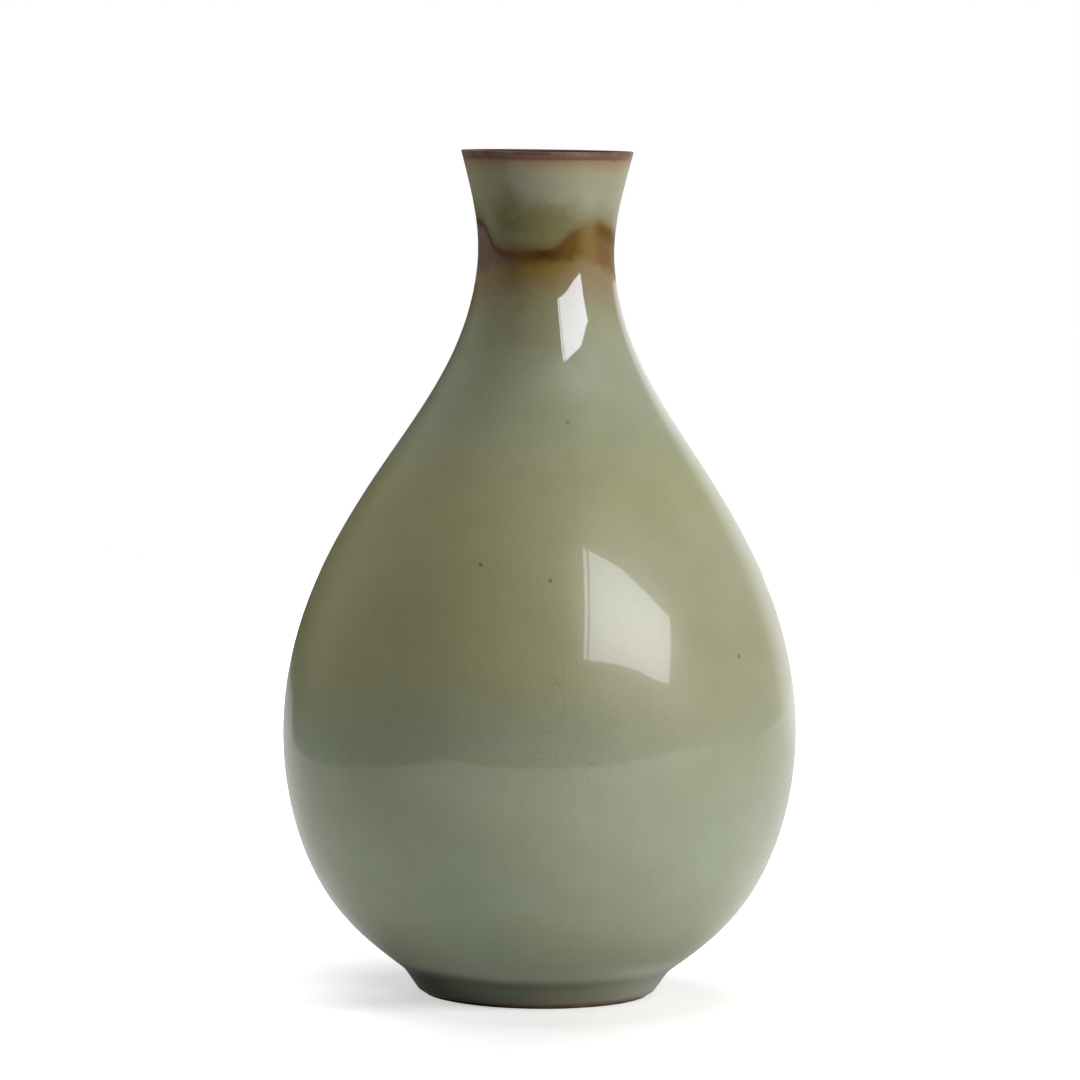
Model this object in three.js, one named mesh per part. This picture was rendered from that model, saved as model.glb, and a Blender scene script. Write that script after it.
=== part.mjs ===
// Stoneware bottle vase: a thrown pot on a turned foot ring, with the coats of glaze it carries.
// Millimetres, +Z up. The origin is the middle of the face that the foot ring stands on.
import * as THREE from "three";

const vaseHeight = 210;

// Outline of the glazed pot: radius at each station, and its rise from the station below
const footHeight = 6.4;
const creaseRadius = 33.5;
const undersideRise = 11.6;
const undersideRadius = 47.4;
const bellyRise = 46.8;
const bellyRadius = 64;
const upperBellyRise = 34.8;
const upperBellyRadius = 57.4;
const shoulderRise = 32.3;
const shoulderRadius = 39.8;
const neckRootRise = 29.2;
const neckRootRadius = 22.3;
const neckRise = 25.3;
const neckRadius = 17;
const lipRadius = 21.4;

// Wall from the glazed outside to the bare inside, thickest where the pot was thrown off the wheel
const wallAtFoot = 6.6;
const wallAtBelly = 5.2;
const wallAtNeck = 4.4;
const wallAtLip = 2;
const lipEdge = 0.35;
const lipInnerRound = 1.1;

// Coats of glaze, which thin out to an edge where they end on bare clay
const glazeThickness = 0.8;
const glazeEdge = 0.3;
const glazeTaper = 9;
const creaseFillet = 1.2;
const linerThickness = 0.6;
const bareLip = 1.1;
const bareLipInside = 2.4;

// Dip lines of the two outer coats: how far each rises over the neck line, at even turns from the front, to the
// right and round again
const neckLineBelowLip = 24.1;
const mouthLineRises = [-0.7, 4.5, 4.5, 2, 3.6, 3.6, 1.5, 3, 5.6, 6.8, 4.2, -0.8];
const bodyLineRises = [-1.2, 0.4, -2.3, -1.8, -0.9, -2, -1.6, -2, -2.4, -2.8, -2.9, -1.5];
const narrowestStrip = 0.5;

// Foot ring, and the pool of glaze in the well inside it
const footBaseRadius = 28.4;
const footFaceWidth = 4.6;
const footEdge = 0.6;
const footWellTaper = 1.2;
const bareFoot = 0.9;
const wellGlazeThickness = 0.8;
const wellGlazeRim = 0.5;
const wellGlazeClearance = 0.3;

// Fineness of the facets
const turnSteps = 48;
const bodySteps = 14;
const neckSteps = 4;
const stripSteps = 3;
const mouthSteps = 6;
const insideSteps = 12;
const lipSteps = 3;
const creaseSteps = 3;
const footRollSteps = 2;
const wellRimSteps = 3;
const diagonalTie = 0.001;

const thrownClay = new THREE.MeshStandardMaterial({ color: 0x5b3f36, roughness: 0.65, metalness: 0 });
const turnedClay = new THREE.MeshStandardMaterial({ color: 0x6b4636, roughness: 0.75, metalness: 0 });
const celadon = new THREE.MeshStandardMaterial({ color: 0x83856a, roughness: 0.14, metalness: 0 });
const mouthCeladon = new THREE.MeshStandardMaterial({ color: 0x7d806a, roughness: 0.16, metalness: 0 });
const linerCeladon = new THREE.MeshStandardMaterial({ color: 0x74765f, roughness: 0.2, metalness: 0 });
const wellCeladon = new THREE.MeshStandardMaterial({ color: 0x7b7d66, roughness: 0.2, metalness: 0 });

// Cubic spline through all its values with no jump in curvature, straight at both ends
class NaturalSpline {
  constructor(knots, values) {
    this.knots = knots;
    this.values = values;
    const last = knots.length - 1;
    this.bends = new Array(last + 1).fill(0);
    const carried = new Array(last + 1).fill(0);
    for (let i = 1; i < last; i++) {
      const span = knots[i + 1] - knots[i - 1];
      const share = (knots[i] - knots[i - 1]) / span;
      const pivot = share * this.bends[i - 1] + 2;
      const slopeAfter = (values[i + 1] - values[i]) / (knots[i + 1] - knots[i]);
      const slopeBefore = (values[i] - values[i - 1]) / (knots[i] - knots[i - 1]);
      this.bends[i] = (share - 1) / pivot;
      carried[i] = ((6 * (slopeAfter - slopeBefore)) / span - share * carried[i - 1]) / pivot;
    }
    this.bends[last] = 0;
    for (let i = last - 1; i >= 0; i--) {
      this.bends[i] = this.bends[i] * this.bends[i + 1] + carried[i];
    }
  }

  at(place) {
    let i = 0;
    while (i < this.knots.length - 2 && place > this.knots[i + 1]) {
      i++;
    }
    const step = this.knots[i + 1] - this.knots[i];
    const a = (this.knots[i + 1] - place) / step;
    const b = (place - this.knots[i]) / step;
    const bend = (a ** 3 - a) * this.bends[i] + (b ** 3 - b) * this.bends[i + 1];
    return a * this.values[i] + b * this.values[i + 1] + (bend * step * step) / 6;
  }
}

// Outline of the pot as a curve of x = radius, y = height, from the crease above the foot to the lip
class PotOutline extends THREE.Curve {
  constructor(stations) {
    super();
    this.chords = [0];
    for (let i = 1; i < stations.length; i++) {
      this.chords.push(this.chords[i - 1] + stations[i].distanceTo(stations[i - 1]));
    }
    this.length = this.chords[this.chords.length - 1];
    this.radii = new NaturalSpline(this.chords, stations.map((station) => station.x));
    this.heights = new NaturalSpline(this.chords, stations.map((station) => station.y));
  }

  getPoint(t, target = new THREE.Vector2()) {
    const place = t * this.length;
    return target.set(this.radii.at(place), this.heights.at(place));
  }

  // The point that lies a depth inside the outline, square to it
  inside(t, depth) {
    const tangent = this.getTangent(t);
    const outward = new THREE.Vector2(tangent.y, -tangent.x);
    return this.getPoint(t).addScaledVector(outward, -depth);
  }

  // The place along the curve where it reaches a height, by halving
  placeAtHeight(height) {
    let low = 0;
    let high = 1;
    for (let i = 0; i < 50; i++) {
      const middle = (low + high) / 2;
      if (this.getPoint(middle).y < height) {
        low = middle;
      } else {
        high = middle;
      }
    }
    return (low + high) / 2;
  }
}

function stationAbove(station, radius, rise) {
  return new THREE.Vector2(radius, station.y + rise);
}

const crease = new THREE.Vector2(creaseRadius, footHeight);
const underside = stationAbove(crease, undersideRadius, undersideRise);
const belly = stationAbove(underside, bellyRadius, bellyRise);
const upperBelly = stationAbove(belly, upperBellyRadius, upperBellyRise);
const shoulder = stationAbove(upperBelly, shoulderRadius, shoulderRise);
const neckRoot = stationAbove(shoulder, neckRootRadius, neckRootRise);
const neck = stationAbove(neckRoot, neckRadius, neckRise);
const lip = new THREE.Vector2(lipRadius, vaseHeight - lipEdge);
const outline = new PotOutline([crease, underside, belly, upperBelly, shoulder, neckRoot, neck, lip]);

const neckLine = lip.y - neckLineBelowLip;
const neckStart = outline.placeAtHeight(neckRoot.y);
const lipGlazeEnd = outline.placeAtHeight(lip.y - bareLip);
const linerEnd = outline.placeAtHeight(lip.y - bareLipInside);

// A dip line as a function of the share of a turn: a smooth closed wave through its rises
function dipLine(rises) {
  const knots = rises.map((rise) => new THREE.Vector3(0, rise, 0));
  const wave = new THREE.CatmullRomCurve3(knots, true, "catmullrom");
  return (turn) => wave.getPoint(turn).y;
}

const mouthLine = dipLine(mouthLineRises);
const bodyLine = dipLine(bodyLineRises);

// The bare strip between the dip lines, as places along the outline
function bareStrip(turn) {
  const top = mouthLine(turn);
  const bottom = Math.min(bodyLine(turn), top - narrowestStrip);
  return { bottom: outline.placeAtHeight(neckLine + bottom), top: outline.placeAtHeight(neckLine + top) };
}

// Depth of the outer coat at a place: full on the belly, thin beside the bare strip and the bare lip
function coatDepth(t, strip) {
  const edges = [strip.bottom, strip.top, lipGlazeEnd];
  const distance = Math.min(...edges.map((edge) => Math.abs(t - edge))) * outline.length;
  return THREE.MathUtils.lerp(glazeEdge, glazeThickness, THREE.MathUtils.smoothstep(distance, 0, glazeTaper));
}

// Depth of the inside of the wall at a place, easing from one named wall to the next
function wallDepth(t) {
  const height = outline.getPoint(t).y;
  if (height < belly.y) {
    const lowShare = THREE.MathUtils.smoothstep(height, crease.y, belly.y);
    return THREE.MathUtils.lerp(wallAtFoot, wallAtBelly, lowShare);
  }
  if (height < neck.y) {
    const middleShare = THREE.MathUtils.smoothstep(height, belly.y, neck.y);
    return THREE.MathUtils.lerp(wallAtBelly, wallAtNeck, middleShare);
  }
  const highShare = THREE.MathUtils.smoothstep(height, neck.y, lip.y);
  return THREE.MathUtils.lerp(wallAtNeck, wallAtLip, highShare);
}

function evenPlaces(from, to, steps) {
  return Array.from({ length: steps + 1 }, (_, i) => THREE.MathUtils.lerp(from, to, i / steps));
}

// Faces that the clay and its outer coats share at one turn of the pot
function facesAt(turn) {
  const strip = bareStrip(turn);
  const stripPlaces = evenPlaces(strip.bottom, strip.top, stripSteps);
  const bodyPlaces = [
    ...evenPlaces(0, neckStart, bodySteps),
    ...evenPlaces(neckStart, strip.bottom, neckSteps).slice(1),
  ];
  const mouthPlaces = evenPlaces(strip.top, lipGlazeEnd, mouthSteps);
  return {
    bodyClay: bodyPlaces.map((t) => outline.inside(t, coatDepth(t, strip))),
    bodyGlaze: bodyPlaces.map((t) => outline.getPoint(t)),
    stripClay: stripPlaces.slice(1, -1).map((t) => outline.inside(t, glazeEdge)),
    mouthClay: mouthPlaces.map((t) => outline.inside(t, coatDepth(t, strip))),
    mouthGlaze: mouthPlaces.map((t) => outline.getPoint(t)),
  };
}

const outerFaces = Array.from({ length: turnSteps }, (_, step) => facesAt(step / turnSteps));

// Faces that the clay and its liner share
const insidePlaces = evenPlaces(0, linerEnd, insideSteps);
const insideClayFace = insidePlaces.map((t) => outline.inside(t, wallDepth(t)));
const insideGlazeFace = insidePlaces.map((t) => outline.inside(t, wallDepth(t) + linerThickness));
const floorMiddle = new THREE.Vector2(0, insideClayFace[0].y);
const floorGlazeMiddle = new THREE.Vector2(0, insideGlazeFace[0].y);

// Side of the foot ring: the clay slopes from the crease in to the edge of its standing face
const clayCrease = new THREE.Vector2(creaseRadius - glazeThickness, footHeight);
const footSideLow = new THREE.Vector2(footBaseRadius, footEdge);

function footSideAtHeight(height) {
  const share = (height - footSideLow.y) / (clayCrease.y - footSideLow.y);
  return footSideLow.clone().lerp(clayCrease, share);
}

const footGlazeEnd = footSideAtHeight(bareFoot);
const footFaceOuter = footBaseRadius - footEdge;
const footFaceInner = footFaceOuter - footFaceWidth;
const wellMouthRadius = footFaceInner - footEdge;
const wellTopRadius = wellMouthRadius - footWellTaper;

// Splits each face of a turned net along its shorter diagonal, so that a coat and its clay share their facets
function splitAlike(geometry) {
  const corners = geometry.index.array;
  const place = (corner) => new THREE.Vector3().fromBufferAttribute(geometry.attributes.position, corner);
  for (let i = 0; i < corners.length; i += 6) {
    const [a, b, d, c] = corners.slice(i, i + 4);
    if (place(a).distanceTo(place(c)) < place(b).distanceTo(place(d)) - diagonalTie) {
      corners.set([a, b, c, c, d, a], i);
    }
  }
}

// A solid of the pot: a profile turned about the axis, which may change from one step of the turn to the next
function turned(name, material, profileAt) {
  const geometry = new THREE.LatheGeometry(profileAt(0), turnSteps);
  const places = geometry.attributes.position;
  const rows = places.count / (turnSteps + 1);
  for (let step = 0; step <= turnSteps; step++) {
    const angle = (2 * Math.PI * step) / turnSteps;
    profileAt(step % turnSteps).forEach((point, row) => {
      places.setXYZ(step * rows + row, point.x * Math.sin(angle), point.y, point.x * Math.cos(angle));
    });
  }
  splitAlike(geometry);
  geometry.computeVertexNormals();
  geometry.rotateX(Math.PI / 2);
  const mesh = new THREE.Mesh(geometry, material);
  mesh.name = name;
  return mesh;
}

function closed(profile) {
  return [...profile, profile[0]];
}

function quarterRound(middleRadius, middleHeight, size, fromAngle) {
  const toAngle = fromAngle + Math.PI / 2;
  const arc = new THREE.EllipseCurve(middleRadius, middleHeight, size, size, fromAngle, toAngle);
  return arc.getPoints(lipSteps);
}

// The thrown wall, from the middle of the underside up the outside, over the lip and down the inside
function makeThrownBody() {
  const insideLip = lipRadius - wallAtLip;
  const lipCrest = [
    ...quarterRound(lipRadius - lipEdge, lip.y, lipEdge, 0),
    ...quarterRound(insideLip + lipInnerRound, vaseHeight - lipInnerRound, lipInnerRound, Math.PI / 2),
  ];
  return turned("thrown_body", thrownClay, (step) => {
    const faces = outerFaces[step];
    return [
      new THREE.Vector2(0, footHeight),
      clayCrease,
      ...faces.bodyClay,
      ...faces.stripClay,
      ...faces.mouthClay,
      faces.mouthGlaze[mouthSteps],
      ...lipCrest,
      ...insideClayFace.toReversed(),
      floorMiddle,
    ];
  });
}

// The ring under the floor: a flat standing face with eased edges, a sloping side and a well inside
function makeFootRing() {
  const profile = closed([
    new THREE.Vector2(footFaceInner, 0),
    new THREE.Vector2(footFaceOuter, 0),
    footSideLow,
    footGlazeEnd,
    clayCrease,
    new THREE.Vector2(wellTopRadius, footHeight),
    new THREE.Vector2(wellMouthRadius, footEdge),
  ]);
  return turned("foot_ring", turnedClay, () => profile);
}

// The first dip: it runs from the bare edge of the foot over the belly to the bare strip on the neck
function makeBodyGlaze() {
  const sideRun = clayCrease.clone().sub(footGlazeEnd).normalize();
  const sideOut = new THREE.Vector2(sideRun.y, -sideRun.x);
  const rollMiddle = footGlazeEnd.clone().addScaledVector(sideRun, glazeThickness);
  const footRoll = evenPlaces(0, Math.PI / 2, footRollSteps).map((angle) =>
    rollMiddle
      .clone()
      .addScaledVector(sideRun, -glazeThickness * Math.cos(angle))
      .addScaledVector(sideOut, glazeThickness * Math.sin(angle)),
  );
  const filletLow = crease.clone().addScaledVector(sideRun, -creaseFillet);
  const filletHigh = outline.getPoint(creaseFillet / outline.length);
  const fillet = new THREE.QuadraticBezierCurve(filletLow, crease, filletHigh).getPoints(creaseSteps);
  return turned("body_glaze", celadon, (step) => {
    const faces = outerFaces[step];
    return closed([
      ...footRoll,
      ...fillet,
      ...faces.bodyGlaze.slice(1),
      ...faces.bodyClay.toReversed(),
      clayCrease,
    ]);
  });
}

// The second dip: it covers the neck above the bare strip and ends just below the crest of the lip
function makeMouthGlaze() {
  return turned("mouth_glaze", mouthCeladon, (step) => {
    const faces = outerFaces[step];
    return closed([...faces.mouthGlaze, ...faces.mouthClay.toReversed()]);
  });
}

// The coat poured inside, from just under the crest of the lip down the wall and over the floor
function makeLinerGlaze() {
  const profile = [floorMiddle, ...insideClayFace, ...insideGlazeFace.toReversed(), floorGlazeMiddle];
  return turned("liner_glaze", linerCeladon, () => profile);
}

// The pool under the floor, which creeps up in a rim where it meets the ring
function makeFootWellGlaze() {
  const poolRadius = wellTopRadius - wellGlazeClearance;
  const poolFace = footHeight - wellGlazeThickness;
  const rim = evenPlaces(0, Math.PI / 2, wellRimSteps).map((angle) => {
    const inward = wellGlazeRim * (1 - Math.cos(angle));
    const upward = wellGlazeRim * (1 - Math.sin(angle));
    return new THREE.Vector2(poolRadius - inward, poolFace - upward);
  });
  const profile = [
    new THREE.Vector2(0, poolFace),
    ...rim.toReversed(),
    new THREE.Vector2(poolRadius, footHeight),
    new THREE.Vector2(0, footHeight),
  ];
  return turned("foot_well_glaze", wellCeladon, () => profile);
}

const vase = new THREE.Group();
vase.add(
  makeThrownBody(),
  makeFootRing(),
  makeBodyGlaze(),
  makeMouthGlaze(),
  makeLinerGlaze(),
  makeFootWellGlaze(),
);

export default vase;
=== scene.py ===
import math

import bpy
import numpy as np
from mathutils import Matrix, Vector


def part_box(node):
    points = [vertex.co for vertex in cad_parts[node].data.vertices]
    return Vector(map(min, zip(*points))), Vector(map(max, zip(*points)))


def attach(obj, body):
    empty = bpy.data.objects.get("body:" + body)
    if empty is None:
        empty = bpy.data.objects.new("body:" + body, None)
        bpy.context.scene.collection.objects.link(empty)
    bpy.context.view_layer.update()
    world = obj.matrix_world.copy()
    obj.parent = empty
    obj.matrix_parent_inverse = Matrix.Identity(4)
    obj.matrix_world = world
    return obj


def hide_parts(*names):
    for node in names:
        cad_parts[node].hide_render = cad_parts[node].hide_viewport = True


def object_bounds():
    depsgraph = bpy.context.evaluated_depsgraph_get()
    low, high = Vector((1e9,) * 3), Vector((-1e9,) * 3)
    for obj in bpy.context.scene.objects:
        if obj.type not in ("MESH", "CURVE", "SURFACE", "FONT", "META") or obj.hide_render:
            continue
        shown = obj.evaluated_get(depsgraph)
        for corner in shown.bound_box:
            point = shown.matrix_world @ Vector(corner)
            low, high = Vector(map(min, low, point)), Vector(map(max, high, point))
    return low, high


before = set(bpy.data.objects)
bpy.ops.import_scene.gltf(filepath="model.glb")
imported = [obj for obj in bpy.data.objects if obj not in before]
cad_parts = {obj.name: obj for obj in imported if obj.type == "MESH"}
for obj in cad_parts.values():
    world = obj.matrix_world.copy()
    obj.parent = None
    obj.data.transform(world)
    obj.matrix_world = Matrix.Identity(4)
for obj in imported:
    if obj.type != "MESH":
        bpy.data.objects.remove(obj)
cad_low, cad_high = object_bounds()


# Thrown body: the wall of the pot, thrown on the wheel in one piece from iron-bearing stoneware.
# The kiln has fused its coats of glaze to it, so bare clay shows only on the crest of the lip and
# round the neck, in the strip that the two dips of glaze left between them.
mm = 0.001
crease_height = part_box("foot_ring")[1].z
crease_radius = 33.5 * mm
lip_edge = 0.35 * mm
lip_inner_round = 1.1 * mm
lip_wall = 2.0 * mm
lip_radius = 21.4 * mm
lip_height = cad_high.z - lip_edge
bare_lip = 1.1 * mm
lip_arc_steps = 7
clay_under_glaze = 0.72 * mm
clay_in_strip = 0.05 * mm
strip_reach = 13 * mm
strip_height = lip_height - 24.1 * mm
outline_spacing = 0.5 * mm
station_spacing = 2.5 * mm
crease_fillet = 1.2 * mm
foot_coat = 0.8 * mm
foot_side_steps = 8
hollow_steps = 12
ring_overlap = outline_spacing / 9
steps_round = 240

throwing_ridge = 0.05 * mm
throwing_pitch = 6.5 * mm
spiral_drift = 0.3
out_of_round = 0.12 * mm
wobble_fade = 20 * mm
edge_ripple = 0.35 * mm
ripples_round = 4.0
ripple_run = 40
seam_gap = 0.001 * mm
wheel_seed = 7.3

# The two dip lines round the neck: degrees from the front, to the right, and millimetres above the strip
line_swing = 10 * mm
mouth_line = (
    (-180, 1.5), (-140, 3.5), (-105, 6.6), (-69, 6.6), (-54, 2.6), (-40, -0.5), (-22, -0.9), (0, -0.7),
    (9, -0.2), (17, 2.0), (27, 4.2), (40, 5.4), (63, 4.4), (90, 2.0), (135, 4.2), (180, 1.5),
)
body_line = (
    (-180, -1.6), (-105, -2.6), (-62, -3.0), (-45, -1.9), (-22, -1.3), (0, -1.2), (16, 0.0), (30, 0.4),
    (46, -1.2), (62, -2.4), (90, -1.8), (125, -0.8), (150, -2.0), (180, -1.6),
)

clay_mauve = (0.180, 0.115, 0.103, 1)
clay_rust = (0.125, 0.066, 0.050, 1)
lip_line_red = (0.146, 0.072, 0.042, 1)
# Near-black: scorched iron in grains, crackle and specks, and also painted shade on the foot ring's left and
# the dark inside the mouth
scorch_and_painted_shade = (0.050, 0.020, 0.008, 1)


def turned_face(node, facing, apart=0.1 * mm):
    """Points (radius, height) up a turned CAD node's outer face (facing 1) or inner face (-1)."""
    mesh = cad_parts[node].data
    upright_enough = 0.5
    found = []
    for face in mesh.polygons:
        outward = Vector((face.center.x, face.center.y, 0)).normalized()
        if face.normal.dot(outward) * facing > upright_enough:
            for corner in face.vertices:
                place = mesh.vertices[corner].co
                found.append((math.hypot(place.x, place.y), place.z))
    found.sort(key=lambda point: point[1])
    points = [found[0]]
    for point in found:
        if math.dist(point, points[-1]) > apart:
            points.append(point)
    return points


def lengths_along(points):
    """How far along a line of points each of them lies."""
    steps = np.hypot(*np.diff(points, axis=0).T)
    return np.concatenate(([0], np.cumsum(steps)))


def natural_spline(knots, values, places):
    """Values at places on the cubic spline through the knots that has no jump in curvature."""
    steps = np.diff(knots)
    slopes = np.diff(values) / steps
    pull = np.diag(2 * (steps[:-1] + steps[1:])) + np.diag(steps[1:-1], 1) + np.diag(steps[1:-1], -1)
    bends = np.zeros(len(knots))
    bends[1:-1] = np.linalg.solve(pull, 6 * np.diff(slopes))
    left = np.clip(np.searchsorted(knots, places, side="right") - 1, 0, len(steps) - 1)
    a = (knots[left + 1] - places) / steps[left]
    b = 1 - a
    bend = (a ** 3 - a) * bends[left] + (b ** 3 - b) * bends[left + 1]
    return a * values[left] + b * values[left + 1] + bend * steps[left] ** 2 / 6


def smooth_line(points):
    """Close points along the smooth curve through a few points."""
    points = np.array(points)
    knots = lengths_along(points)
    places = np.linspace(0, knots[-1], int(knots[-1] / outline_spacing))
    return np.column_stack([natural_spline(knots, column, places) for column in points.T])


def outward_normals(points):
    """Unit normals to the right of the way that a line of points runs."""
    tangents = np.gradient(points, axis=0)
    tangents /= np.hypot(*tangents.T)[:, None]
    return np.column_stack((tangents[:, 1], -tangents[:, 0]))


def eased(values, low, high):
    """0 below low, 1 above high, and a smooth step between."""
    share = np.clip((np.asarray(values, float) - low) / (high - low), 0, 1)
    return share * share * (3 - 2 * share)


# The pot's outer side over its coats, as a few points of the CAD faces and the smooth curve through them
body_points = turned_face("body_glaze", 1, station_spacing)
mouth_points = turned_face("mouth_glaze", 1, station_spacing)
crease = np.array((crease_radius, crease_height))
pot_points = [crease]
pot_points += [point for point in body_points if crease_height + station_spacing < point[1] < strip_height]
pot_points += [point for point in mouth_points if pot_points[-1][1] + station_spacing < point[1]]
pot_points.append((lip_radius, lip_height))
pot_curve = smooth_line(pot_points)

# Side of the foot over its coat, and the soft hollow where it meets the belly
foot_edge, foot_low, foot_coat_end, foot_top = (np.array(point) for point in turned_face("foot_ring", 1))
foot_run = (foot_top - foot_low) / np.linalg.norm(foot_top - foot_low)
foot_out = np.array((foot_run[1], -foot_run[0]))
foot_start = foot_coat_end + foot_out * foot_coat
foot_bend = crease - foot_run * crease_fillet
belly_start = int(crease_fillet / outline_spacing)
foot_side = [foot_start + (foot_bend - foot_start) * share for share in np.linspace(0, 1, foot_side_steps)]
hollow = [
    foot_bend * (1 - t) ** 2 + crease * 2 * t * (1 - t) + pot_curve[belly_start] * t ** 2
    for t in np.linspace(0, 1, hollow_steps)[1:-1]
]
pot_side = np.vstack((foot_side, hollow, pot_curve[belly_start:]))
pot_along = lengths_along(pot_side)
strip_along = np.interp(strip_height, pot_side[:, 1], pot_along)

# The clay's own outline: under the coats, out to the lip, over its crest and down the inside to the floor
clay_heights = pot_side[:, 1]
clay_depth = clay_under_glaze + (clay_in_strip - clay_under_glaze) * eased(
    clay_heights, strip_height - 1.8 * strip_reach, strip_height - strip_reach)
clay_depth *= 1 - eased(clay_heights, lip_height - 2 * bare_lip, lip_height - bare_lip / 2)
clay_side = (pot_side - outward_normals(pot_side) * clay_depth[:, None])[clay_heights > crease_height]


def quarter_round(middle, size, start):
    """Points of a quarter of a circle, from a starting angle."""
    angles = np.linspace(start, start + math.pi / 2, lip_arc_steps)
    return np.column_stack((middle[0] + size * np.cos(angles), middle[1] + size * np.sin(angles)))


lip_outer = quarter_round((lip_radius - lip_edge, lip_height), lip_edge, 0)
inner_middle = (lip_radius - lip_wall + lip_inner_round, cad_high.z - lip_inner_round)
lip_inner = quarter_round(inner_middle, lip_inner_round, math.pi / 2)
inside_face = [point for point in turned_face("thrown_body", -1) if point[1] < inner_middle[1] - lip_edge]
inside_line = smooth_line(inside_face)
clay_outline = np.vstack((
    [(0, crease_height), foot_top - foot_run * ring_overlap],
    clay_side[:-1], lip_outer, lip_inner, inside_line[::-1], [(0, inside_line[0][1])],
))


def add_node(tree, kind, inputs=None, **settings):
    """A new node with its settings made and its inputs, by name or number, filled in or linked."""
    node = tree.nodes.new(kind)
    for name, value in settings.items():
        setattr(node, name, value)
    for key, value in (inputs or {}).items():
        if isinstance(value, bpy.types.NodeSocket):
            tree.links.new(value, node.inputs[key])
        else:
            node.inputs[key].default_value = value
    return node


def maths(tree, operation, *values):
    """The result of one step of arithmetic on sockets or numbers."""
    return add_node(tree, "ShaderNodeMath", dict(enumerate(values)), operation=operation).outputs[0]


def times(tree, product, *others):
    """Sockets or numbers multiplied together."""
    for other in others:
        product = maths(tree, "MULTIPLY", product, other)
    return product


def combine(tree, x, y, z):
    """Three sockets or numbers as one vector."""
    return add_node(tree, "ShaderNodeCombineXYZ", {0: x, 1: y, 2: z}).outputs[0]


def split(tree, vector):
    """The three sockets x, y and z of a vector."""
    return add_node(tree, "ShaderNodeSeparateXYZ", {0: vector}).outputs


def remap(tree, value, from_low, from_high, to_low=0, to_high=1):
    """A value carried smoothly from one range to another, and held at its ends."""
    ranges = {"Value": value, 1: from_low, 2: from_high, 3: to_low, 4: to_high}
    return add_node(tree, "ShaderNodeMapRange", ranges, interpolation_type="SMOOTHSTEP").outputs[0]


def noise(tree, vector, scale, detail=2.0, roughness=0.5):
    """Soft noise from 0 to 1, at so many grains to each unit of the vector."""
    values = {"Vector": vector, "Scale": scale, "Detail": detail, "Roughness": roughness}
    return add_node(tree, "ShaderNodeTexNoise", values).outputs[0]


def dip_line(tree, turn_share, points):
    """Height of a dip line, in metres over the strip, at a share of the turn that starts at the back."""
    node = add_node(tree, "ShaderNodeFloatCurve", {"Value": turn_share})
    curve = node.mapping.curves[0]
    while len(curve.points) < len(points):
        curve.points.new(0.5, 0.5)
    for knot, (degrees, rise) in zip(curve.points, points):
        knot.location = (degrees / 360 + 0.5, 0.5 + rise * mm / (2 * line_swing))
    node.mapping.update()
    return times(tree, maths(tree, "SUBTRACT", node.outputs[0], 0.5), 2 * line_swing)


def new_group(kind, name, inputs, outputs):
    """An empty node group with named sockets of given kinds, what it is given, and where its results go."""
    group = bpy.data.node_groups.new(name, kind)
    for way, sockets in (("INPUT", inputs), ("OUTPUT", outputs)):
        for socket_name, socket_kind in sockets.items():
            group.interface.new_socket(
                name=socket_name, in_out=way, socket_type="NodeSocket" + socket_kind)
    return group, group.nodes.new("NodeGroupInput").outputs, group.nodes.new("NodeGroupOutput").inputs


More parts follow.
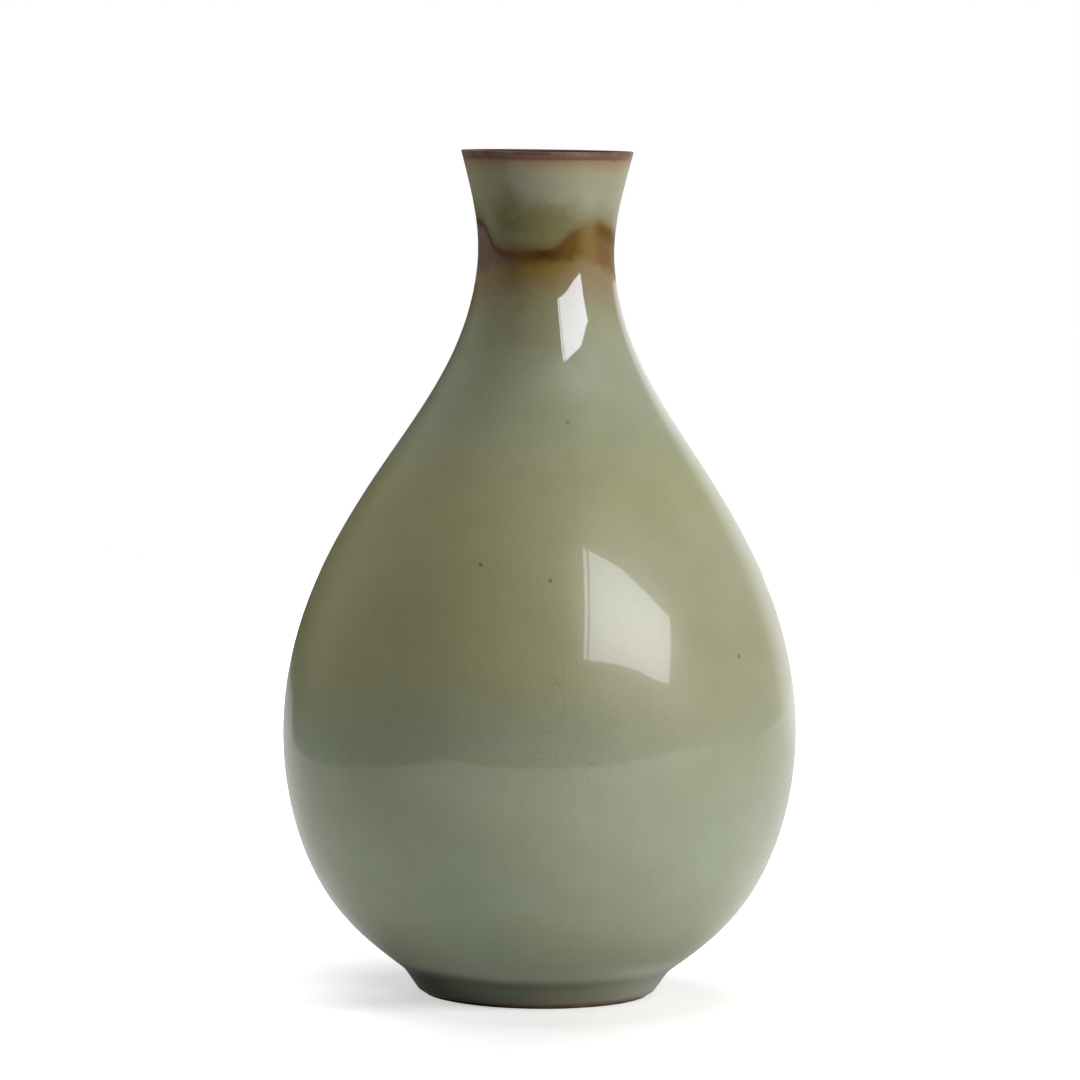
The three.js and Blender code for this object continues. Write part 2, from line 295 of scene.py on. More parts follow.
def make_turning_tree():
    """Spins a section, drawn flat as (distance along the outline, depth under it), round the pot's axis."""
    sockets = {
        "Section": "Geometry", "Outline": "Object", "Steps Round": "Int", "Strip Place": "Float",
        "Ridge Height": "Float", "Ridge Pitch": "Float", "Out Of Round": "Float", "Edge Ripple": "Float",
        "Wheel Seed": "Float", "Finish": "Material",
    }
    tree, given, result = new_group("GeometryNodeTree", "turning", sockets, {"Turned": "Geometry"})

    # A flat net with one row for each point of the section and one column for each step of the turn
    count = add_node(tree, "GeometryNodeAttributeDomainSize", {0: given["Section"]}).outputs["Point Count"]
    columns = maths(tree, "ADD", given["Steps Round"], 1)
    net = add_node(tree, "GeometryNodeMeshGrid", {"Vertices X": count, "Vertices Y": columns}).outputs["Mesh"]
    index = tree.nodes.new("GeometryNodeInputIndex").outputs[0]
    row = maths(tree, "FLOOR", maths(tree, "DIVIDE", maths(tree, "ADD", index, 0.5), columns))
    column = maths(tree, "SUBTRACT", index, times(tree, row, columns))

    def of_section(field):
        """The three parts of a vector of the section, for each row of the net."""
        values = {"Geometry": given["Section"], "Value": field, "Index": row}
        sample = add_node(
            tree, "GeometryNodeSampleIndex", values, data_type="FLOAT_VECTOR", domain="POINT")
        return split(tree, sample.outputs[0])

    along, depth, _ = of_section(tree.nodes.new("GeometryNodeInputPosition").outputs[0])
    loose = add_node(tree, "GeometryNodeInputNamedAttribute", {"Name": "loose"}, data_type="FLOAT_VECTOR")
    mouth_share, body_share, ripple_share = of_section(loose.outputs[0])

    # The edges of the coats follow their dip lines, and ripple a little
    turn_share = maths(tree, "DIVIDE", column, given["Steps Round"])
    angle = maths(tree, "MULTIPLY_ADD", turn_share, 2 * math.pi, -math.pi)
    sine = maths(tree, "SINE", angle)
    cosine = maths(tree, "COSINE", angle)
    mouth_rise = dip_line(tree, turn_share, mouth_line)
    body_rise = dip_line(tree, turn_share, body_line)
    ripple_place = combine(tree, sine, cosine, times(tree, along, ripple_run))
    ripple = maths(tree, "SUBTRACT", noise(tree, ripple_place, ripples_round, 3.0), 0.5)
    ripple = times(tree, ripple, given["Edge Ripple"], 2)
    shift = times(tree, mouth_share, mouth_rise)
    shift = maths(tree, "MULTIPLY_ADD", body_share, body_rise, shift)
    shift = maths(tree, "MULTIPLY_ADD", ripple_share, ripple, shift)
    place = maths(tree, "ADD", along, shift)

    # The point of the outline at that place, then in from it by the depth
    outline = add_node(tree, "GeometryNodeObjectInfo", {"Object": given["Outline"]}).outputs["Geometry"]
    sample = add_node(
        tree, "GeometryNodeSampleCurve", {"Curves": outline, "Length": place}, mode="LENGTH",
        use_all_curves=True)
    point = split(tree, sample.outputs["Position"])
    tangent = split(tree, sample.outputs["Tangent"])
    radius = maths(tree, "SUBTRACT", point[0], times(tree, depth, tangent[2]))
    height = maths(tree, "MULTIPLY_ADD", depth, tangent[0], point[2])

    # The fingers' spiral ridges and a slightly oval turn, which fade out towards the axis
    ridge_place = combine(
        tree,
        maths(tree, "ADD", times(tree, sine, spiral_drift), given["Wheel Seed"]),
        times(tree, cosine, spiral_drift),
        maths(tree, "DIVIDE", height, given["Ridge Pitch"]),
    )
    ridge = maths(tree, "SUBTRACT", noise(tree, ridge_place, 1.0, 1.0), 0.5)
    ridge = times(tree, ridge, given["Ridge Height"], 2)
    oval = maths(tree, "COSINE", maths(tree, "MULTIPLY_ADD", angle, 2, given["Wheel Seed"]))
    wobble = maths(tree, "MULTIPLY_ADD", oval, given["Out Of Round"], ridge)
    wobble = times(tree, wobble, remap(tree, radius, 0, wobble_fade))
    radius = maths(tree, "ADD", radius, wobble)
    spun = combine(tree, times(tree, radius, sine), times(tree, radius, cosine, -1), height)
    turned = add_node(tree, "GeometryNodeSetPosition", {"Geometry": net, "Position": spun}).outputs[0]

    # How far each point lies over either dip line, for the stains there
    over_strip = maths(tree, "SUBTRACT", place, given["Strip Place"])
    for name, rise in (("over_mouth_line", mouth_rise), ("over_body_line", body_rise)):
        values = {"Geometry": turned, "Name": name, "Value": maths(tree, "SUBTRACT", over_strip, rise)}
        stored = add_node(tree, "GeometryNodeStoreNamedAttribute", values, data_type="FLOAT", domain="POINT")
        turned = stored.outputs[0]
    outward = add_node(tree, "GeometryNodeFlipFaces", {"Mesh": turned}).outputs[0]
    seam = {"Geometry": outward, "Distance": seam_gap}
    merged = add_node(tree, "GeometryNodeMergeByDistance", seam).outputs[0]
    smooth = add_node(tree, "GeometryNodeSetShadeSmooth", {"Geometry": merged}).outputs[0]
    whole = add_node(tree, "GeometryNodeRealizeInstances", {"Geometry": smooth}).outputs[0]
    dressed = {"Geometry": whole, "Material": given["Finish"]}
    finished = add_node(tree, "GeometryNodeSetMaterial", dressed).outputs[0]
    tree.links.new(finished, result["Turned"])
    return tree


turning_tree = make_turning_tree()
scene = bpy.context.scene


def turn(node, outline, section, finish, strip_place=strip_along):
    """A finished piece, turned from section rows of (along, depth, mouth hold, body hold, ripple)."""
    curve = bpy.data.curves.new(node + "_outline", "CURVE")
    curve.dimensions = "3D"
    line = curve.splines.new("POLY")
    line.points.add(len(outline) - 1)
    for point, (radius, height) in zip(line.points, outline):
        point.co = (radius, 0, height, 1)
    guide = bpy.data.objects.new(node + "_outline", curve)
    scene.collection.objects.link(guide)
    flat = bpy.data.meshes.new(node + "_section")
    flat.from_pydata([(along, depth, 0) for along, depth, *_ in section], [], [])
    loose = flat.attributes.new("loose", "FLOAT_VECTOR", "POINT")
    for value, (_, _, *holds) in zip(loose.data, section):
        value.vector = holds
    piece = bpy.data.objects.new(node + "_turned", flat)
    scene.collection.objects.link(piece)
    sizes = {
        "Outline": guide, "Steps Round": steps_round, "Strip Place": float(strip_place),
        "Ridge Height": throwing_ridge, "Ridge Pitch": throwing_pitch, "Out Of Round": out_of_round,
        "Edge Ripple": edge_ripple, "Wheel Seed": wheel_seed, "Finish": finish,
    }
    turning = piece.modifiers.new("turning", "NODES")
    turning.node_group = turning_tree
    for socket in turning_tree.interface.items_tree:
        if socket.in_out == "INPUT" and socket.name in sizes:
            turning[socket.identifier] = sizes[socket.name]
    depsgraph = bpy.context.evaluated_depsgraph_get()
    mesh = bpy.data.meshes.new_from_object(
        piece.evaluated_get(depsgraph), preserve_all_data_layers=True, depsgraph=depsgraph)
    mesh.materials.pop(index=0)
    piece.modifiers.remove(turning)
    piece.data = mesh
    mesh.name = piece.name
    bpy.data.meshes.remove(flat)
    bpy.data.objects.remove(guide)
    bpy.data.curves.remove(curve)
    return piece


def new_material(name):
    """An empty material's node tree and its Principled shader, already wired to the output."""
    material = bpy.data.materials.new(name)
    material.use_nodes = True
    tree = material.node_tree
    tree.nodes.clear()
    shader = tree.nodes.new("ShaderNodeBsdfPrincipled")
    add_node(tree, "ShaderNodeOutputMaterial", {"Surface": shader.outputs[0]})
    return material, tree, shader


def mix_colors(tree, share, first, second):
    """The first colour, or the second where the share is 1."""
    node = add_node(tree, "ShaderNodeMix", {0: share, 6: first, 7: second}, data_type="RGBA")
    return node.outputs[2]


def vectors(tree, operation, first, second):
    """The result of one step of vector arithmetic. The second value of a scale is a number."""
    key = "Scale" if operation == "SCALE" else 1
    node = add_node(tree, "ShaderNodeVectorMath", {0: first, key: second}, operation=operation)
    return node.outputs["Value" if operation == "DISTANCE" else "Vector"]


def place_in_mm(tree):
    """The point on the piece, in millimetres in the part's frame."""
    place = tree.nodes.new("ShaderNodeTexCoord").outputs["Object"]
    return vectors(tree, "SCALE", place, 1 / mm)


def attribute_in_mm(tree, name):
    """One of the distances that the turning tree stored, in millimetres."""
    value = add_node(tree, "ShaderNodeAttribute", attribute_name=name).outputs["Fac"]
    return times(tree, value, 1 / mm)


def make_iron_clay():
    """Fired iron-bearing clay: blotches of two colours, dark grains of iron, and a fine dry tooth."""
    group, given, result = new_group(
        "ShaderNodeTree", "iron_clay", {"Pale": "Color", "Rust": "Color", "Grain": "Float"},
        {"Color": "Color", "Roughness": "Float", "Relief": "Float"})
    place = place_in_mm(group)
    blotch = remap(group, noise(group, place, 0.17, 3.0), 0.36, 0.64)
    ground = mix_colors(group, blotch, given["Pale"], given["Rust"])
    cells = add_node(group, "ShaderNodeTexVoronoi", {"Vector": place, "Scale": 1.1})
    grains = times(group, remap(group, cells.outputs["Distance"], 0.10, 0.24, 1, 0), given["Grain"])
    group.links.new(mix_colors(group, grains, ground, scorch_and_painted_shade), result["Color"])
    tooth = noise(group, place, 2.4, 5.0, 0.65)
    group.links.new(remap(group, tooth, 0.2, 0.8, 0.34, 0.52), result["Roughness"])
    group.links.new(times(group, tooth, 0.035), result["Relief"])
    return group


iron_clay = make_iron_clay()


def use_group(tree, group, values):
    """Outputs of a node group placed in a tree with its inputs set or linked."""
    return add_node(tree, "ShaderNodeGroup", values, node_tree=group).outputs


def color_steps(tree, value, stops):
    """A colour that runs smoothly through stops of (value, colour)."""
    low = stops[0][0]
    span = stops[-1][0] - low
    share = maths(tree, "DIVIDE", maths(tree, "SUBTRACT", value, low), span)
    ramp = add_node(tree, "ShaderNodeValToRGB", {0: share})
    ramp.color_ramp.interpolation = "EASE"
    knots = ramp.color_ramp.elements
    while len(knots) < len(stops):
        knots.new(0.5)
    for knot, (position, color) in zip(knots, stops):
        knot.position = (position - low) / span
        knot.color = color
    return ramp.outputs[0]


# Colours of the burnt neck, and where they lie in millimetres from its left to its right:
# mauve and sandy on the left, deep brown at the front, red-brown on the right
smoke_olive = (0.150, 0.130, 0.044, 1)
amber_sand = (0.215, 0.160, 0.082, 1)
amber_deep = (0.180, 0.115, 0.024, 1)
stain_mauve = (0.168, 0.105, 0.075, 1)
stain_brown = (0.105, 0.054, 0.005, 1)
stain_red = (0.144, 0.080, 0.028, 1)
line_maroon = (0.080, 0.048, 0.032, 1)
line_brown = (0.050, 0.020, 0.003, 1)
line_red = (0.104, 0.056, 0.008, 1)
tan_gap = (0.182, 0.120, 0.036, 1)
neck_amber = ((-14, amber_sand), (-7, amber_deep), (2, amber_deep), (10, amber_sand))
neck_stain = ((-14, stain_mauve), (-4, stain_brown), (6, stain_brown), (10.8, tan_gap), (14, stain_red))
neck_line = (
    (-14, line_maroon), (-6, stain_brown), (0, line_brown), (6, line_red), (10.8, tan_gap),
    (13.5, line_red),
)


def make_burnt_neck():
    """Iron burnt through round the dip lines: olive smoke, a dark line, stained clay, then fading amber."""
    group, given, result = new_group(
        "ShaderNodeTree", "burnt_neck",
        {"Color": "Color", "Over Mouth Line": "Float", "Over Body Line": "Float"}, {"Color": "Color"})
    place = place_in_mm(group)
    x = split(group, place)[0]
    uneven = maths(group, "SUBTRACT", noise(group, place, 0.22, 3.0), 0.5)
    over_mouth = maths(group, "MULTIPLY_ADD", uneven, 1.6, given["Over Mouth Line"])
    over_body = maths(group, "MULTIPLY_ADD", uneven, 6.0, given["Over Body Line"])

    smoke = times(group, remap(group, over_mouth, 0, 8, 0.85, 0), remap(group, over_body, -1, 0.5))
    tone = mix_colors(group, smoke, given["Color"], smoke_olive)
    run_down = maths(group, "ADD", over_body, remap(group, x, 2, 12, 0, 2))
    amber = times(group, remap(group, run_down, -16, -3), remap(group, over_mouth, 0, 2.5, 1, 0))
    tone = mix_colors(group, amber, tone, color_steps(group, x, neck_amber))
    stain = times(group, remap(group, over_body, -4, 0), remap(group, over_mouth, -0.5, 4.0, 1, 0))
    tone = mix_colors(group, stain, tone, color_steps(group, x, neck_stain))
    line = maths(group, "DIVIDE", maths(group, "ABSOLUTE", over_mouth), remap(group, x, -6, 9, 1.5, 3.2))
    tone = mix_colors(group, remap(group, line, 0.1, 1.0, 0.95, 0), tone, color_steps(group, x, neck_line))
    group.links.new(tone, result["Color"])
    return group


burnt_neck = make_burnt_neck()


def burn(tree, tone):
    """A colour with the neck's burnt tones over it."""
    return use_group(tree, burnt_neck, {
        "Color": tone, "Over Mouth Line": attribute_in_mm(tree, "over_mouth_line"),
        "Over Body Line": attribute_in_mm(tree, "over_body_line")})["Color"]


def bump(tree, shader, relief):
    """Fine relief, in millimetres, on the shader's normal."""
    node = add_node(tree, "ShaderNodeBump", {"Strength": 1.0, "Distance": mm, "Height": relief})
    tree.links.new(node.outputs[0], shader.inputs["Normal"])


def from_axis(tree, x, y):
    """Distance from the pot's axis."""
    return maths(tree, "SQRT", maths(tree, "ADD", times(tree, x, x), times(tree, y, y)))


def make_thrown_clay():
    """Mauve on the lip, burnt in the strip on the neck, and near-black inside the mouth."""
    material, tree, shader = new_material("thrown_clay")
    clay = use_group(tree, iron_clay, {"Pale": clay_mauve, "Rust": clay_rust, "Grain": 0.5})
    x, y, height = split(tree, place_in_mm(tree))
    over_coat = maths(tree, "SUBTRACT", height, (lip_height - bare_lip) / mm)
    inside_radius = (lip_radius - lip_wall) / mm
    outside_radius = (lip_radius - lip_edge) / mm
    inside = remap(tree, from_axis(tree, x, y), inside_radius, outside_radius, 1, 0)
    over_neck = remap(tree, attribute_in_mm(tree, "over_mouth_line"), 6, 12)
    lip = mix_colors(tree, remap(tree, over_coat, 0.2, 0.7, 1, 0), clay["Color"], lip_line_red)
    # Near-black on the inside of the lip and wall, above the neck's strip
    tone = mix_colors(tree, times(tree, inside, over_neck), burn(tree, lip), scorch_and_painted_shade)
    tree.links.new(tone, shader.inputs["Base Color"])
    dull = maths(tree, "ADD", clay["Roughness"], remap(tree, over_neck, 0, 1, 0.4, 0))
    tree.links.new(dull, shader.inputs["Roughness"])
    bump(tree, shader, times(tree, clay["Relief"], remap(tree, over_neck, 0, 1, 0.1, 1)))
    tree.links.new(remap(tree, over_neck, 0, 1, 0.15, 0.1), shader.inputs["Coat Weight"])
    shader.inputs["Coat Roughness"].default_value = 0.1
    shader.inputs["Specular IOR Level"].default_value = 0.12
    return material


# Every row of the outline where the clay shows, and a few of those that the coats hide
clay_length = lengths_along(clay_outline)
corners_below = 4
hidden_skip = 6
clay_section = [
    (along, 0, 0, 0, 0) for step, (along, height) in enumerate(zip(clay_length, clay_outline[:, 1]))
    if height > strip_height - strip_reach or step < corners_below or step % hidden_skip == 0
]
clay_section.append((clay_length[-1], 0, 0, 0, 0))
crest = int(np.argmax(clay_outline[:, 1]))
clay_strip = np.interp(strip_height, clay_outline[1:crest, 1], clay_length[1:crest])
thrown_body = turn("thrown_body", clay_outline, clay_section, make_thrown_clay(), clay_strip)
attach(thrown_body, "root")
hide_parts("thrown_body")


# Foot ring: a ring of the same clay, set under the floor while damp and turned to a taper with a tool.
# Its lower edge and the face that it stands on are wiped bare, so that the pot doesn't stick to the
# kiln shelf.
ring_ease_steps = 5
ring_face_width = 4.6 * mm
ring_spacing = 0.6 * mm
well_taper = 1.2 * mm
# Rusty clay, darkened further as painted contact shadow
ring_rust_and_painted_shade = (0.105, 0.036, 0.020, 1)
ring_pale = (0.150, 0.070, 0.048, 1)

ring_ease = foot_low - foot_edge
ring_inner = foot_edge[0] - ring_face_width
outer_ease = [
    foot_edge + ring_ease * (math.sin(angle), 1 - math.cos(angle))
    for angle in np.linspace(0, math.pi / 2, ring_ease_steps)
]
inner_ease = [
    (ring_inner - ring_ease[0] * math.sin(angle), ring_ease[1] * (1 - math.cos(angle)))
    for angle in np.linspace(math.pi / 2, 0, ring_ease_steps)
]
well_top = (ring_inner - ring_ease[0] - well_taper, crease_height)
ring_corners = np.vstack((inner_ease, outer_ease, [foot_top], [well_top], inner_ease[:1]))


def finely(points, spacing):
    """A line of points with more along its straight runs, so that shading stays true at its corners."""
    places = lengths_along(points)
    rows = [points[0]]
    for start, end, gap in zip(points, points[1:], np.diff(places)):
        count = max(1, int(gap / spacing))
        rows += [start + (end - start) * share for share in np.linspace(0, 1, count + 1)[1:]]
    return np.array(rows)


def make_turned_clay():
    """Rusty turned clay, with painted shade that darkens it towards its left."""
    material, tree, shader = new_material("turned_clay")
    clay = use_group(tree, iron_clay, {"Pale": ring_pale, "Rust": ring_rust_and_painted_shade, "Grain": 0.8})
    x = split(tree, place_in_mm(tree))[0]
    # Painted shade: darker towards the left, where the pot's contact shadow falls
    tone = mix_colors(tree, remap(tree, x, -24, 4, 0.75, 0), clay["Color"], scorch_and_painted_shade)
    tree.links.new(tone, shader.inputs["Base Color"])
    tree.links.new(remap(tree, clay["Roughness"], 0.3, 0.55, 0.6, 0.85), shader.inputs["Roughness"])
    bump(tree, shader, clay["Relief"])
    return material


ring_outline = finely(ring_corners, ring_spacing)
ring_section = [(along, 0, 0, 0, 0) for along in lengths_along(ring_outline)]
foot_ring = turn("foot_ring", ring_outline, ring_section, make_turned_clay())
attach(foot_ring, "root")
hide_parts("foot_ring")


# Body glaze: the coat of celadon from the first dip, which the pot gets foot down, held by the neck.
# It is a glassy grey-green skin, bluer where it ran thick and olive where it is thin, and brown where
# it thins out to an edge on the iron in the clay.
coat_depth = 0.7 * mm
coat_edge = 0.08 * mm
coat_thinning = 9 * mm
edge_feather = 3.0 * mm
coat_low = 0.8 * mm
foot_roll = 1.4 * mm
roll_steps = 8
outer_spacing = 1.0 * mm
back_spacing = 4.0 * mm
hold_from = 30 * mm
hold_fully = 6 * mm

celadon_low = (0.226, 0.257, 0.174, 1)
celadon_olive = (0.262, 0.262, 0.140, 1)
celadon_shoulder = (0.248, 0.268, 0.178, 1)
celadon_neck = (0.235, 0.240, 0.140, 1)
# The foot's coat: partly the thin coat's own darker tone, partly painted shade where it faces the shaded
# table
celadon_foot_and_painted_shade = (0.110, 0.120, 0.090, 1)
# Painted shadow just under the crease
celadon_under_crease_painted_shadow = (0.078, 0.086, 0.064, 1)
# Painted shade on the left of the foot's front
celadon_foot_painted_shade = (0.030, 0.034, 0.025, 1)
# Painted highlight along the crease on the right
celadon_crease_painted_highlight = (0.340, 0.358, 0.310, 1)
# Painted reflection: the pale band just above the crease
celadon_crease_painted_reflection = (0.262, 0.290, 0.222, 1)
# Painted reflection: paler, bluer tones on the right of the belly
celadon_painted_reflection = (0.262, 0.266, 0.172, 1)
celadon_painted_reflection_low = (0.252, 0.276, 0.192, 1)
olive_drift = (0.250, 0.225, 0.095, 1)
amber_edge = (0.240, 0.156, 0.076, 1)
foot_amber = (0.100, 0.080, 0.045, 1)
iron_edge_brown = (0.085, 0.038, 0.012, 1)

# The coat's colours from the foot up to the neck, by height in millimetres, with painted shade on the foot
# and just under the crease, and painted reflection on the crease
body_bands = (
    (0, celadon_foot_and_painted_shade), (4.2, celadon_foot_and_painted_shade), (6.3, celadon_under_crease_painted_shadow), (9.0, celadon_crease_painted_reflection),
    (13, celadon_low), (66, celadon_low), (90, celadon_olive), (122, celadon_olive),
    (146, celadon_shoulder), (156, celadon_shoulder), (174, celadon_neck),
)

# Dark specks of iron on the front: degrees from the front, to the right, height and size in millimetres.
# The patches of crackle and of olive there also have a strength.
iron_specks = ((-16.4, 111.2, 0.8), (2.2, 107.9, 0.7), (52.3, 88.7, 0.8), (10.6, 144.6, 0.6))
crackle_patch = (6, 72, 34, 0.2)
olive_patch = (-2, 168, 15, 0.4)


def roll(edge, inward, length, depth, hold):
    """Outer face of a coat's rounded edge, from the edge inward: rows of a section."""
    rows = []
    for share in np.linspace(0, 1, roll_steps):
        lift = math.sin(share * math.pi / 2)
        rows.append((edge + inward * length * share ** 2, depth * (1 - lift), *hold))
    return rows


def feather(edge, inward, length, hold):
    """Outer face of a coat that thins away along its dip line, from the edge inward: rows of a section."""
    return [
        (edge + inward * length * share, coat_edge * (1 - eased(share, 0, 1)), *hold)
        for share in np.linspace(0, 1, roll_steps)
    ]


def on_pot(degrees, height):
    """A point on the pot's side, in millimetres: degrees from the front, to the right, and its height."""
    radius = np.interp(height, pot_side[:, 1] / mm, pot_side[:, 0] / mm)
    turned_by = math.radians(degrees)
    return radius * math.sin(turned_by), -radius * math.cos(turned_by), height


def patch(tree, place, spot):
    """A soft patch with uneven edges at a spot of (degrees, height, reach, strength)."""
    degrees, height, reach, strength = spot
    wander = add_node(tree, "ShaderNodeTexNoise", {"Vector": place, "Scale": 0.16, "Detail": 3.0})
    bent = vectors(tree, "SUBTRACT", wander.outputs["Color"], (0.5, 0.5, 0.5))
    bent = vectors(tree, "ADD", vectors(tree, "SCALE", bent, 1.4 * reach), place)
    away = vectors(tree, "DISTANCE", bent, on_pot(degrees, height))
    return remap(tree, away, 0, reach, strength, 0)


def make_celadon():
    """Celadon over a ground colour: drifts of olive, cloudy depth, crackle, iron specks and pinholes."""
    group, given, result = new_group(
        "ShaderNodeTree", "celadon",
        {"Ground": "Color", "Drifting": "Float", "Crackle": "Float", "Specks": "Float"},
        {"Color": "Color", "Roughness": "Float", "Relief": "Float"})
    place = place_in_mm(group)
    banded = vectors(group, "MULTIPLY", place, (1, 1, 1.8))
    drawn_down = vectors(group, "MULTIPLY", place, (1, 1, 0.1))
    drift = times(group, remap(group, noise(group, banded, 0.02, 2.0), 0.36, 0.70), given["Drifting"])
    tone = mix_colors(group, drift, given["Ground"], olive_drift)

    # Clouds in the depth of the glass, faint runs down it and a fine grain
    cloud = noise(group, banded, 0.07, 1.0)
    runs = noise(group, drawn_down, 0.35, 1.0)
    grain = noise(group, place, 1.1, 2.0, 0.6)
    shade = remap(group, cloud, 0.25, 0.75, 0.975, 1.025)
    shade = maths(group, "ADD", shade, remap(group, runs, 0.3, 0.7, -0.01, 0.01))
    shade = maths(group, "ADD", shade, remap(group, grain, 0.25, 0.75, -0.025, 0.025))
    tone = vectors(group, "SCALE", tone, shade)

    # Broken lines of crackle between bent cells
    wander = add_node(group, "ShaderNodeTexNoise", {"Vector": place, "Scale": 0.2, "Detail": 2.0})
    bent = vectors(group, "ADD", vectors(group, "SCALE", wander.outputs["Color"], 5.0), place)
    cells = {"Vector": bent, "Scale": 0.17}
    cracks = add_node(group, "ShaderNodeTexVoronoi", cells, feature="DISTANCE_TO_EDGE")
    crack = remap(group, cracks.outputs["Distance"], 0.004, 0.040, 1, 0)
    crazed = remap(group, noise(group, place, 0.30, 2.0), 0.46, 0.60)
    tone = mix_colors(group, times(group, crack, crazed, given["Crackle"]), tone, scorch_and_painted_shade)

    # Specks of iron in about a quarter of the cells of a wide net
    seeds = add_node(group, "ShaderNodeTexVoronoi", {"Vector": place, "Scale": 0.085})
    lot = add_node(group, "ShaderNodeSeparateColor", {0: seeds.outputs["Color"]}).outputs[0]
    speck = remap(group, seeds.outputs["Distance"], 0.02, 0.05, 1, 0)
    speck = times(group, speck, remap(group, lot, 0.72, 0.76), given["Specks"])
    group.links.new(mix_colors(group, speck, tone, scorch_and_painted_shade), result["Color"])

    # Slow swells, a fine peel and pinholes
    pits = add_node(group, "ShaderNodeTexVoronoi", {"Vector": place, "Scale": 0.16})
    pit = remap(group, pits.outputs["Distance"], 0.015, 0.05, 1, 0)
    group.links.new(remap(group, cloud, 0.25, 0.75, 0.285, 0.315), result["Roughness"])
    swell = times(group, noise(group, place, 0.07, 2.0), 0.05)
    peel = times(group, noise(group, place, 0.5, 2.0), 0.004)
    relief = maths(group, "SUBTRACT", maths(group, "ADD", swell, peel), times(group, pit, 0.02))
    group.links.new(relief, result["Relief"])
    return group


def make_iron_edge():
    """Iron that burns through where a coat thins: amber within reach of the edge, then brown at it."""
    group, given, result = new_group(
        "ShaderNodeTree", "iron_edge",
        {"Color": "Color", "Distance": "Float", "Reach": "Float", "Amber": "Color", "Brown": "Color"},
        {"Color": "Color"})
    uneven = maths(group, "SUBTRACT", noise(group, place_in_mm(group), 0.2, 4.0, 0.6), 0.5)
    distance = maths(group, "DIVIDE", given["Distance"], given["Reach"])
    distance = maths(group, "MULTIPLY_ADD", uneven, 0.35, distance)
    amber = mix_colors(group, remap(group, distance, 0.2, 1.0, 0.9, 0), given["Color"], given["Amber"])
    brown = mix_colors(group, remap(group, distance, 0.0, 0.3, 1, 0), amber, given["Brown"])
    group.links.new(brown, result["Color"])
    return group


celadon = make_celadon()
iron_edge = make_iron_edge()


def burn_edge(tree, tone, distance, reach, amber, brown):
    """A colour with the iron that burns through towards a coat's edge."""
    return use_group(tree, iron_edge, {
        "Color": tone, "Distance": distance, "Reach": reach, "Amber": amber, "Brown": brown})["Color"]


def finish_coat(tree, shader, tone, coat):
    """Puts a coat's colour, gloss and relief on its shader."""
    tree.links.new(tone, shader.inputs["Base Color"])
    tree.links.new(coat["Roughness"], shader.inputs["Roughness"])
    bump(tree, shader, coat["Relief"])
    shader.inputs["Specular IOR Level"].default_value = 0.25
    shader.inputs["Coat Weight"].default_value = 0.8
    shader.inputs["Coat Roughness"].default_value = 0.04
    shader.inputs["Coat IOR"].default_value = 1.57


